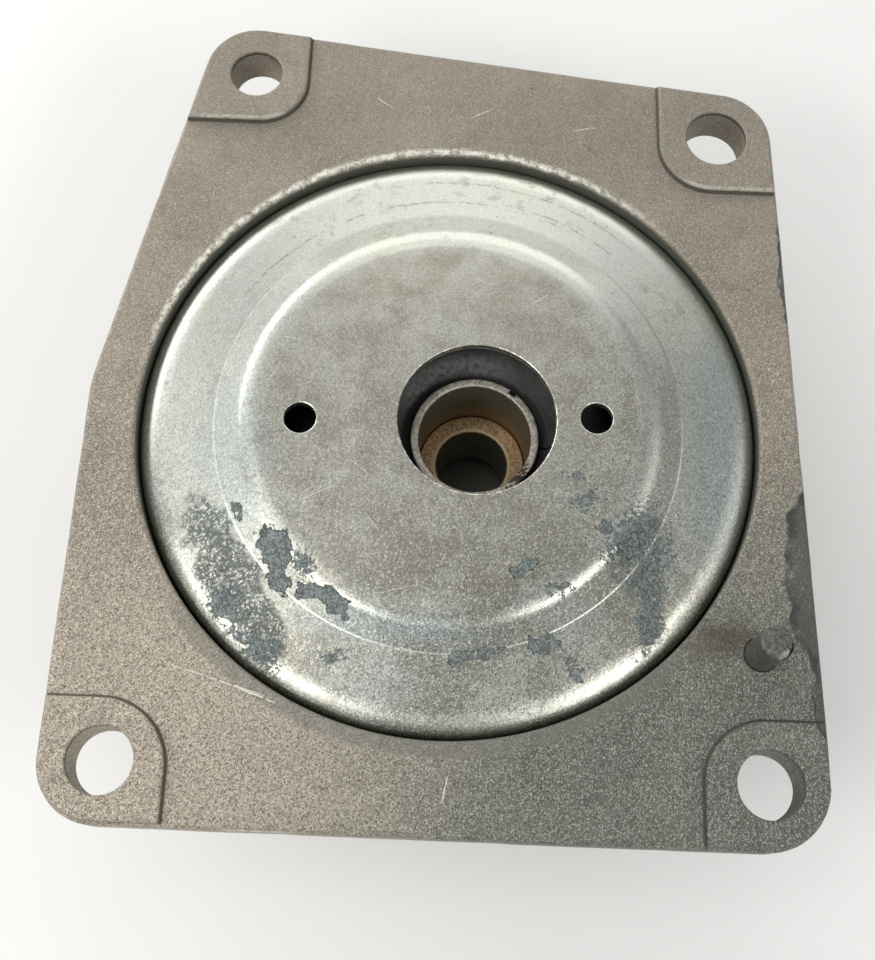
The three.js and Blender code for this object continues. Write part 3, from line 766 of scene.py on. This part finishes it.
def plate_outline(inset, z, pitch=3.0, arc_steps=14):
    """The plate's outline at height z, drawn smaller by inset. A cast edge is never quite straight,
    so each point also sits a hair inside the line."""
    circles = [*CORNERS, SIDE_BEND]

    def normal(a, b):
        dx = b["arc"][0] - a["arc"][0]
        dy = b["arc"][1] - a["arc"][1]
        lean = math.asin((a["arc_r"] - b["arc_r"]) / math.hypot(dx, dy))
        return math.atan2(dy, dx) - math.pi / 2 + lean

    points = []
    for i, circle in enumerate(circles):
        after = circles[(i + 1) % len(circles)]
        start = normal(circles[i - 1], circle)
        end = normal(circle, after)
        sweep = (end - start) % (2 * math.pi)
        r = circle["arc_r"]
        for k in range(arc_steps + 1):
            a = start + sweep * k / arc_steps
            points.append((circle["arc"], r, a))
        gap = math.dist(circle["arc"], after["arc"])
        for k in range(1, int(gap / pitch)):
            t = k / int(gap / pitch)
            centre = [p + (q - p) * t for p, q in zip(circle["arc"], after["arc"])]
            points.append((centre, r + (after["arc_r"] - r) * t, end))
    loop = []
    for centre, r, a in points:
        way = Vector((math.cos(a), math.sin(a), 0))
        place = Vector((*centre, 0)) + way * r
        hair = 0.10 * (1 + noise.noise(place * 0.16)) + 0.04 * noise.noise(place * 0.9)
        loop.append((place - way * (inset + hair)) + Vector((0, 0, z)))
    return loop


def pad_block(corner):
    """A pad's raised corner: soft slopes on its inner sides, and its outer sides run on."""
    sx = math.copysign(1, corner["hole"][0])
    sy = math.copysign(1, corner["hole"][1])
    pad_x, pad_y = corner["pad"]
    r = corner["pad_r"]
    far = 40
    loops = []
    for inset, z in PAD_SLOPE:
        loop = [Vector((pad_x + sx * far, pad_y + sy * far, z))]
        loop.append(Vector((pad_x + sx * inset, pad_y + sy * far, z)))
        for k in range(17):
            a = math.pi / 2 * k / 16
            x = pad_x + sx * (r - (r - inset) * math.cos(a))
            y = pad_y + sy * (r - (r - inset) * math.sin(a))
            loop.append(Vector((x, y, z)))
        loop.append(Vector((pad_x + sx * far, pad_y + sy * inset, z)))
        loops.append(loop)
    block = mesh_object("pad", skin(loops))
    limit = mesh_object("limit", skin([plate_outline(PAD_INSET + back, z) for back, z in PAD_EDGE]))
    return combine(block, [limit], "INTERSECT")


def rounded_bar(corners, width, turn, soften):
    """An upright web of that outline in the (r, z) plane, with softened edges."""
    loops = [[Vector((r, side * width / 2, z)) for r, z in corners] for side in (-1, 1)]
    bm = skin(loops)
    bmesh.ops.bevel(bm, geom=bm.edges, offset=soften, segments=3, profile=0.5, affect="EDGES")
    bm.transform(Matrix.Rotation(math.radians(turn), 4, "Z"))
    return mesh_object("web", bm)


def gusset(turn, reach):
    root = BORE_R + 2
    top = 1.5 - PLATE_T
    corners = [
        (root, top),
        (root, -PLATE_T - GUSSET_DEPTH),
        (CUP_R, -PLATE_T - GUSSET_DEPTH + 1),
        (reach, -PLATE_T - 1.5),
        (reach, top),
    ]
    return rounded_bar(corners, GUSSET_WIDTH, turn, 0.7)


def base_casting():
    quarter = math.pi / 2
    rise = arc(0, 0, EDGE_R, 0, quarter, 5)
    top = [(EDGE_R - a, b - EDGE_R) for a, b in rise]
    bottom = [(EDGE_R - a, EDGE_R - PLATE_T - b) for a, b in reversed(rise)]
    body = mesh_object("casting", skin([plate_outline(inset, z) for inset, z in [*bottom, *top]]))
    pads = [pad_block(corner) for corner in CORNERS]
    cup = rounded([
        (0, FLOOR_BACK, 0), (RECESS_R - 0.2, FLOOR_BACK, 2.2), (RECESS_R + 0.3, RIM_Z, 0.7),
        (CUP_RIM_R, RIM_Z, 1.0), (CUP_R, -PLATE_T - 1.4, 1.3), (CUP_R + 1.5, -PLATE_T + 0.4, 0),
        (CUP_R, -PLATE_T + 2, 0), (0, -PLATE_T + 2, 0),
    ], closed=False)
    land = rounded([
        (LAND_R[0], FLOOR_BACK - RIB_HEIGHT, 0.6), (LAND_R[1], FLOOR_BACK - RIB_HEIGHT, 0.6),
        (LAND_R[1] + 0.4, FLOOR_BACK + 1, 0), (LAND_R[0] - 0.4, FLOOR_BACK + 1, 0),
    ])
    parts = [*pads, mesh_object("cup", revolve(cup)), mesh_object("land", revolve(land))]
    for corner in CORNERS:
        x, y = corner["hole"]
        parts.append(gusset(math.degrees(math.atan2(y, x)), math.hypot(x, y) - GUSSET_CLEAR))
    parts += [gusset(turn, reach) for turn, reach in SIDE_GUSSETS]
    middle_r = sum(LAND_R) / 2
    rib = [
        (middle_r, FLOOR_BACK + 1), (middle_r, FLOOR_BACK - RIB_HEIGHT),
        (RECESS_R + 1, FLOOR_BACK - RIB_HEIGHT), (RECESS_R + 1, FLOOR_BACK + 1),
    ]
    parts += [rounded_bar(rib, RIB_WIDTH, 30 + k * 360 / RIBS, 0.6) for k in range(RIBS)]
    combine(body, parts, "UNION")
    bore = rounded([
        (0, FLOOR_Z, 0), (BORE_R, FLOOR_Z, 1.2), (BORE_R, -0.3, 0.7), (BORE_R + 2, 0.6, 0), (0, 0.6, 0),
    ], closed=False)
    lip = arc(BORE_R + BORE_LIP, -BORE_LIP, BORE_LIP, 2 * quarter, quarter, 5)
    wall = [point for point in bore if point[1] < BORE_LIP_START]
    above = [(BORE_R + BORE_LIP, 3), (0, 3)]
    cuts = [mesh_object("bore", revolve([*wall, *lip, *above]))]
    cuts.append(drill(0, 0, NECK_R + LOOSE_FIT, FLOOR_BACK, FLOOR_Z, 0.5, ROUND))
    for corner in CORNERS:
        cuts.append(drill(*corner["hole"], corner["hole_r"], -PLATE_T, PAD_H, 0.3))
    cuts.append(drill(pin_axis.x, pin_axis.y, half_width("locating_pin") + FIT, -PLATE_T, 0, 0.06))
    combine(body, cuts, "DIFFERENCE")
    return piece(body, "base_casting", "base", "cast_aluminium", cast_metal(), BORE_FRAME)


def locating_pin():
    """A rough round pin with a worn top, chipped away on the near right."""
    r = half_width("locating_pin")
    end, top = span("locating_pin")
    profile = [(0, end), (r - 0.7, end), (r - 0.04, end + 0.6)]
    profile += [(r - 0.04, end + 0.6 + (top - end - 1.3) * k / 24) for k in range(1, 25)]
    profile += arc(r - 0.74, top - 0.72, 0.7, 0, math.pi / 2, 6)
    profile += [(r - 0.8 - (r - 0.8) * k / 8, top - 0.02) for k in range(1, 9)]

    def wear(point, radius, angle):
        amount = 0.035 if point.z < 0 else 0.10
        worn = 0.5 + 0.5 * noise.noise(point * 0.9 + PIN_SEED)
        out = Vector((math.cos(angle), math.sin(angle), 0))
        point = point - out * amount * worn * min(1.0, radius)
        if point.z > top - 1.2:
            point.z -= 0.14 * (0.5 + 0.5 * noise.noise(point * 1.4))
            away = math.cos(angle - PIN_CHIPPED) * radius
            drop = max(0.0, away - 0.55)
            point.z -= min(1.6, drop * (0.75 + 0.35 * noise.noise(point * 2.1)))
        return point

    bm = revolve(profile, PIN_ROUND, shape=wear)
    place = BORE_FRAME @ Matrix.Translation((pin_axis.x, pin_axis.y, 0))
    return piece(mesh_object("pin", bm), "locating_pin", "base", "pin_steel", pin_metal(), place, 50)


# ---- Cartridge ----------------------------------------------------------------------------


def offset_path(path, distance):
    """A path beside another one, to the right of the way it runs."""
    moved = []
    for i, here in enumerate(path):
        a = Vector(path[max(i - 1, 0)])
        b = Vector(path[min(i + 1, len(path) - 1)])
        along = (b - a).normalized()
        moved.append((here[0] + along.y * distance, here[1] - along.x * distance))
    return moved


def front_cap():
    quarter = math.pi / 2
    bend = arc(PLATEAU_R, CAP_TOP - BEND_R, BEND_R, quarter, quarter - STEEPEST, 8)
    bend_r, bend_z = bend[-1]
    hollow_at = (bend_r + HOLLOW_R * math.sin(STEEPEST), bend_z + HOLLOW_R * math.cos(STEEPEST))
    hollow = arc(*hollow_at, HOLLOW_R, -quarter - STEEPEST, -quarter - SLOPE, 6)
    slope_r, slope_z = hollow[-1]
    crease_z = slope_z - (CREASE_R - slope_r) * math.tan(SLOPE)
    step_r, step_z = CREASE_R + CREASE_STEP[0], crease_z - CREASE_STEP[1]
    tight_r = CAP_R - RIM_TIGHT_R
    turn_r = tight_r + RIM_TIGHT_R * math.sin(RIM_TURN)
    wide_r = turn_r - RIM_WIDE_R * math.sin(RIM_TURN)
    rim_r = wide_r + RIM_WIDE_R * math.sin(RING_SLOPE)
    rim_z = step_z - (rim_r - step_r) * math.tan(RING_SLOPE)
    wide_z = rim_z - RIM_WIDE_R * math.cos(RING_SLOPE)
    turn_z = wide_z + RIM_WIDE_R * math.cos(RIM_TURN)
    ring = [(slope_r, slope_z, 0), (CREASE_R, crease_z, 0.18), (step_r, step_z, 0.18), (rim_r, rim_z, 0)]
    soft = rounded(ring, closed=False, steps=3)
    rim = arc(wide_r, wide_z, RIM_WIDE_R, quarter - RING_SLOPE, quarter - RIM_TURN, 10)
    rim += arc(tight_r, turn_z - RIM_TIGHT_R * math.cos(RIM_TURN), RIM_TIGHT_R, quarter - RIM_TURN, 0, 10)[1:]
    outer = [(0, CAP_TOP), *bend, *hollow[1:], *soft[1:-1], *rim, (CAP_R, CAP_END)]
    inner = offset_path(outer, SHEET)
    inner[0] = (0, CAP_TOP - SHEET)
    inner[-1] = (CAP_R - SHEET, CAP_END)
    body = mesh_object("cap", revolve([*inner, *reversed(outer)]))
    under = CAP_TOP - SHEET
    holes = [drill(ECCENTRICITY, 0, CAP_HOLE_R, under, CAP_TOP, 0.22, ROUND)]
    holes += [drill(side * SPANNER_AT, 0, SPANNER_R, under, CAP_TOP, 0.2) for side in (-1, 1)]
    combine(body, holes, "DIFFERENCE")
    return piece(body, "front_cap", "cartridge", "zinc_plate", zinc_plate(), CARTRIDGE_FRAME)


def rubber_element():
    """A thick ring of rubber. Its loops slide from the sleeve's axis to the bore axis, because the
    hole for the sleeve is off centre, and a dish and a relief groove are sunk in both faces."""
    end, top = span("rubber_element")
    hole = SLEEVE_R + LOOSE_FIT
    outer = half_width("rubber_element")
    dish = 17.5
    # distance out from the hole, height, and share of the eccentricity that is left
    face = [
        (hole, top - 2.75, 1), (hole + 0.5, top - 2.9, 1), (hole + 1.4, top - 2.75, 1),
        (hole + 2.2, top - 2.2, 1), (hole + 3.2, top - 1.35, 1), (hole + 4.6, top - 0.62, 1),
        (dish - 1.2, top - 0.16, 1), (dish, top, 1), (20.5, top, 0.75), (25, top - 0.05, 0.3),
        (26.6, top - 0.9, 0.1), (29, top - 4.2, 0), (31, top - 5.9, 0), (34, top - 6.3, 0),
        (36.2, top - 5.6, 0), (38.6, top - 2.8, 0), (40, top - 2.25, 0), (outer - 0.4, top - 2.2, 0),
        (outer, top - 2.6, 0),
    ]
    back = [
        (outer, end + 0.5, 0), (outer - 0.5, end, 0), (39.4, end + 0.05, 0), (37.6, end + 1.6, 0),
        (35.6, end + 4.2, 0), (32.5, end + 4.5, 0), (29.4, end + 4.2, 0), (27.4, end + 1.6, 0.1),
        (25.6, end + 0.05, 0.3), (20.5, end, 0.75), (dish, end, 1), (15.0, end + 1.3, 1),
        (hole + 1.4, end + 2.6, 1), (hole, end + 2.7, 1),
    ]
    loops = []
    for r, z, share in [*face, *back]:
        loop = []
        for k in range(ROUND):
            a = 2 * math.pi * k / ROUND
            point = Vector((ECCENTRICITY * share + r * math.cos(a), r * math.sin(a), z))
            if hole < r < outer:
                point.z -= 0.12 * (1 + noise.noise(point * 0.3))
            loop.append(point)
        loops.append(loop)
    body = mesh_object("rubber", skin(loops, closed_rings=True))
    # A radial crack on the right, from the sleeve out under the cap.
    zigzag = [(0.0, 0.0), (0.9, 0.25), (1.5, -0.1), (2.3, 0.2), (3.1, 0.05), (4.2, 0.4), (5.2, 0.3)]
    edges = []
    for x, y in zigzag:
        half = 0.20 * (1.0 - 0.12 * x)
        edges.append((ECCENTRICITY + hole - 0.3 + x, y - 1.1 - half, half))
    outline = [(x, y) for x, y, _ in edges] + [(x, y + 2 * half) for x, y, half in reversed(edges)]
    blade = skin([[Vector((x, y, z)) for x, y in outline] for z in (top - 6.0, top + 2)])
    combine(body, [mesh_object("crack", blade)], "DIFFERENCE")
    return piece(body, "rubber_element", "cartridge", "bush_rubber", black_rubber(), CARTRIDGE_FRAME, 45)


def turned_piece(name, corners, body, slot, material, place=CARTRIDGE_FRAME, shape=None, steps=ROUND):
    """A closed ring of (r, z, fillet) corners as a finished piece."""
    bm = revolve(rounded(corners), steps, shape=shape)
    return piece(mesh_object(name, bm), name, body, slot, material, place)


def shell_steel():
    """Dull zinc, darker and rougher inside the closed end of the neck."""
    f = Finish("dull_zinc", 1.0, 0.42)
    f.colour = f.mix(f.patches(6, 4, 0.6, 0.38, 0.68), (0.52, 0.54, 0.52), (0.36, 0.375, 0.35))
    fine = f.noise(0.6, 4, 0.65)
    f.lay(f.step(fine, 0.5, 0.75), 0.4, (0.33, 0.34, 0.32))
    depth = f.axis(2)
    inner = f.times(f.step(depth, SHELL_END + 1.2, SHELL_END + 1.6), f.step(depth, -26.0, -29.0))
    neck_end_dark = f.times(inner, f.step(f.radius(), NECK_IN + 0.6, NECK_IN + 0.2))
    f.lay(neck_end_dark, 0.97, (0.27, 0.268, 0.236))
    rough = f.plus(0.34, f.times(fine, 0.18))
    return f.finish(f.plus(rough, f.times(neck_end_dark, 0.3)), f.bump(fine, 0.03))


def rear_shell():
    """Drawn from one sheet, so the end of the neck is closed."""
    top = level("rear_shell")
    floor = level("friction_washer") + FIT
    groove_low = level("retaining_ring", top=False) - FIT
    groove_high = level("retaining_ring") + FIT
    inner_r = SHELL_R - SHELL_WALL
    inner_end = SHELL_END + SHELL_WALL
    profile = rounded([
        (0, SHELL_END, 0), (NECK_R, SHELL_END, 0.7), (NECK_R, groove_low, 0.12),
        (GROOVE_R, groove_low, 0.12), (GROOVE_R, groove_high, 0.12), (NECK_R, groove_high, 0.12),
        (NECK_R, floor, 0), (SHELL_R, floor, 4.0), (SHELL_R, top, 0.4), (inner_r, top, 0.4),
        (inner_r, floor + SHELL_WALL, 2.2), (NECK_IN, floor + SHELL_WALL, 1.6), (NECK_IN, inner_end, 1.4),
        (0, inner_end, 0),
    ], closed=False)
    body = mesh_object("shell", revolve(profile))
    return piece(body, "rear_shell", "cartridge", "zinc_inner", shell_steel(), CARTRIDGE_FRAME)


def flat_ring(node, inner, outer, edge, body, slot, material, place):
    low, high = span(node)
    corners = [(inner, low, edge), (outer, low, edge), (outer, high, edge), (inner, high, edge)]
    return turned_piece(node, corners, body, slot, material, place)


def wave_spring():
    low, high = span("wave_spring")
    swing = (high - low - SPRING_T) / 2
    centre = (high + low) / 2

    def wave(point, radius, angle):
        return point + Vector((0, 0, swing * math.cos(SPRING_WAVES * angle)))

    under, over = centre - SPRING_T / 2, centre + SPRING_T / 2
    corners = [(SPRING_IN, under, 0.15), (SPRING_OUT, under, 0.15)]
    corners += [(SPRING_OUT, over, 0.15), (SPRING_IN, over, 0.15)]
    steel = plain_steel("spring_steel", (0.24, 0.255, 0.30), (0.12, 0.125, 0.14), 0.36)
    return turned_piece("wave_spring", corners, "base", "spring_steel", steel, BORE_FRAME, wave)


def retaining_ring():
    """An open ring with softened edges, and an eye at each end for the pliers."""
    low, high = span("retaining_ring")
    half, lug = RING_GAP / 2, RING_LUG
    soft = 0.22

    def loop(inset, z):
        points = []
        last = 2 * math.pi - half
        turns = [
            (RING_LUG_R, half, half + lug, 8),
            (RING_OUT, half + lug, last - lug, ROUND),
            (RING_LUG_R, last - lug, last, 8),
        ]
        for radius, start, end, steps in turns:
            for k in range(steps + 1):
                way = math.degrees(start + (end - start) * k / steps)
                points.append(Vector((*polar(radius - inset, way), z)))
        for k in range(ROUND + 1):
            way = math.degrees(last + (half - last) * k / ROUND)
            points.append(Vector((*polar(RING_IN + inset, way), z)))
        return points

    loops = [loop(soft, low), loop(0.06, low + 0.06), loop(0, low + soft)]
    loops += [loop(0, high - soft), loop(0.06, high - 0.06), loop(soft, high)]
    body = mesh_object("ring", skin(loops))
    at = (RING_IN + RING_LUG_R) / 2 + 0.6
    eyes = []
    for side in (-1, 1):
        x, y = polar(at, math.degrees(half + lug / 2))
        eyes.append(drill(x, side * y, 1.0, low, high, 0.15, 48))
    combine(body, eyes, "DIFFERENCE")
    steel = plain_steel("black_steel", (0.085, 0.09, 0.095), (0.045, 0.046, 0.05), 0.42, metallic=0.8)
    return piece(body, "retaining_ring", "cartridge", "ring_steel", steel, CARTRIDGE_FRAME)


# ---- Bush ---------------------------------------------------------------------------------


def chafed(amount, size):
    """Small unevenness for a worn turned piece: its points sink a little."""

    def shape(point, radius, angle):
        dent = amount * (0.5 + 0.5 * noise.noise(point / size))
        return point - Vector((0, 0, dent))

    return shape


def inner_sleeve():
    end, top = span("inner_sleeve")
    uneven = chafed(0.10, 0.9)

    def shape(point, radius, angle):
        return uneven(point, radius, angle) if point.z > top - 0.6 else point

    corners = [(SLEEVE_BORE, end, 0.25), (SLEEVE_R, end, 0.25)]
    corners += [(SLEEVE_R, top, 0.22), (SLEEVE_BORE, top, 0.30)]
    body = mesh_object("sleeve", revolve(rounded(corners), shape=shape))
    notch = bmesh.new()
    bmesh.ops.create_cube(notch, size=1.0)
    size = Matrix.Diagonal((*NOTCH, 1))
    notch.transform(Matrix.Rotation(NOTCH_WAY, 4, "Z") @ Matrix.Translation((SLEEVE_R, 0, top)) @ size)
    combine(body, [mesh_object("notch", notch)], "DIFFERENCE")
    return piece(body, "inner_sleeve", "bush", "sleeve_steel", sleeve_metal(), BUSH_FRAME)


def bronze_bush():
    end, top = span("bronze_bush")
    outer = half_width("bronze_bush")
    corners = [(BUSH_BORE, end, 0.35), (outer, end, 0.35), (outer, top, 0.35), (BUSH_BORE, top, 0.42)]
    worn = chafed(0.06, 1.1)
    return turned_piece("bronze_bush", corners, "bush", "bush_bronze", bronze(), BUSH_FRAME, worn)


# ---- Assembly -----------------------------------------------------------------------------

base_casting()
locating_pin()
front_cap()
rubber_element()
rear_shell()
wave_spring()
retaining_ring()
flat_ring("friction_washer", *FRICTION_R, 0.2, "base", "washer_plastic", acetal(), BORE_FRAME)
bond_metal = plain_steel("bond_steel", (0.20, 0.21, 0.22), (0.10, 0.10, 0.11), 0.55)
flat_ring("bonding_ring", *BOND_R, 0.4, "cartridge", "bond_steel", bond_metal, CARTRIDGE_FRAME)
washer_metal = plain_steel("washer_steel", (0.50, 0.52, 0.51), (0.30, 0.31, 0.30), 0.4)
flat_ring("backing_washer", *WASHER_R, 0.15, "cartridge", "washer_steel", washer_metal, CARTRIDGE_FRAME)
inner_sleeve()
bronze_bush()

# ---- Floor, light and camera --------------------------------------------------------------


def pale_floor():
    size = 3.0
    bm = bmesh.new()
    bmesh.ops.create_grid(bm, x_segments=1, y_segments=1, size=size)
    floor = mesh_object("floor", bm)
    floor.location.z = cad_low.z - 0.0002
    f = Finish("pale_floor", 0.0, 0.85)
    f.colour = f.mix(f.noise(60, 2), (0.80, 0.80, 0.79), (0.84, 0.84, 0.835))
    floor.data.materials.append(f.finish())


def panel(name, way, distance, size, power):
    """A soft area light in that direction from the part, aimed at it."""
    light = bpy.data.lights.new(name, "AREA")
    light.shape = "RECTANGLE"
    light.size, light.size_y = size
    light.energy = power
    light.color = (1.0, 0.99, 0.965)
    lamp = bpy.data.objects.new(name, light)
    lamp.location = Vector(way).normalized() * distance + Vector((0, 0, PLATE_TOP))
    lamp.rotation_euler = (-Vector(way)).to_track_quat("-Z", "Y").to_euler()
    bpy.context.scene.collection.objects.link(lamp)


# Soft panels round the part: name, direction from it, distance and size in metres, and power in watts.
PANELS = [
    ("low_far", (0.0, 0.97, 0.24), 0.60, (0.70, 0.24), 0.75),
    ("low_far_left", (-0.80, 0.58, 0.20), 0.60, (0.45, 0.24), 1.8),
    ("high_far", (0.0, 0.84, 0.54), 0.70, (0.80, 0.34), 0.60),
    ("higher_far", (0.0, 0.62, 0.78), 0.75, (0.34, 0.18), 0.29),
    ("high_left", (-0.61, 0.38, 0.69), 0.70, (0.22, 0.26), 0.20),
    ("over_left", (-0.22, 0.12, 0.97), 0.75, (0.14, 0.20), 0.17),
    ("near_over_left", (-0.43, -0.04, 0.90), 0.70, (0.16, 0.22), 0.34),
    ("flank_left", (-0.58, -0.42, 0.69), 0.60, (0.36, 0.12), 1.40),
    ("flank_right", (0.615, -0.415, 0.68), 0.60, (0.30, 0.11), 0.68),
    ("front", (0.0, -0.68, 0.73), 0.60, (0.30, 0.10), 0.08),
    ("low_near_right", (0.60, -0.70, 0.38), 0.50, (0.30, 0.20), 0.38),
    ("low_right", (0.90, 0.10, 0.42), 0.60, (0.24, 0.40), 0.17),
]


def studio():
    world = bpy.data.worlds.new("soft_room")
    bpy.context.scene.world = world
    world.use_nodes = True
    room = world.node_tree.nodes["Background"]
    room.inputs["Color"].default_value = (0.97, 0.99, 1.0, 1)
    room.inputs["Strength"].default_value = 0.37
    bpy.context.scene.view_settings.view_transform = "Standard"
    for name, way, distance, size, power in PANELS:
        panel(name, way, distance, size, power)


CAMERA_AT = Vector((-2.29, -72.1, 185.26))
CAMERA_AIM = Vector((-1.41, -9.54, 0.0))
CAMERA_ROLL = math.radians(-2.87)
CAMERA_LENS = 46.5


def camera():
    data = bpy.data.cameras.new("camera")
    data.sensor_width = 36
    data.lens = CAMERA_LENS
    data.clip_start = 0.01
    made = bpy.data.objects.new("camera", data)
    bpy.context.scene.collection.objects.link(made)
    look = (CAMERA_AIM - CAMERA_AT).to_track_quat("-Z", "Y").to_matrix().to_4x4()
    roll = Matrix.Rotation(-CAMERA_ROLL, 4, "Z")
    made.matrix_world = Matrix.Translation(BORE_FRAME @ CAMERA_AT) @ look @ roll
    bpy.context.scene.camera = made


pale_floor()
studio()
camera()
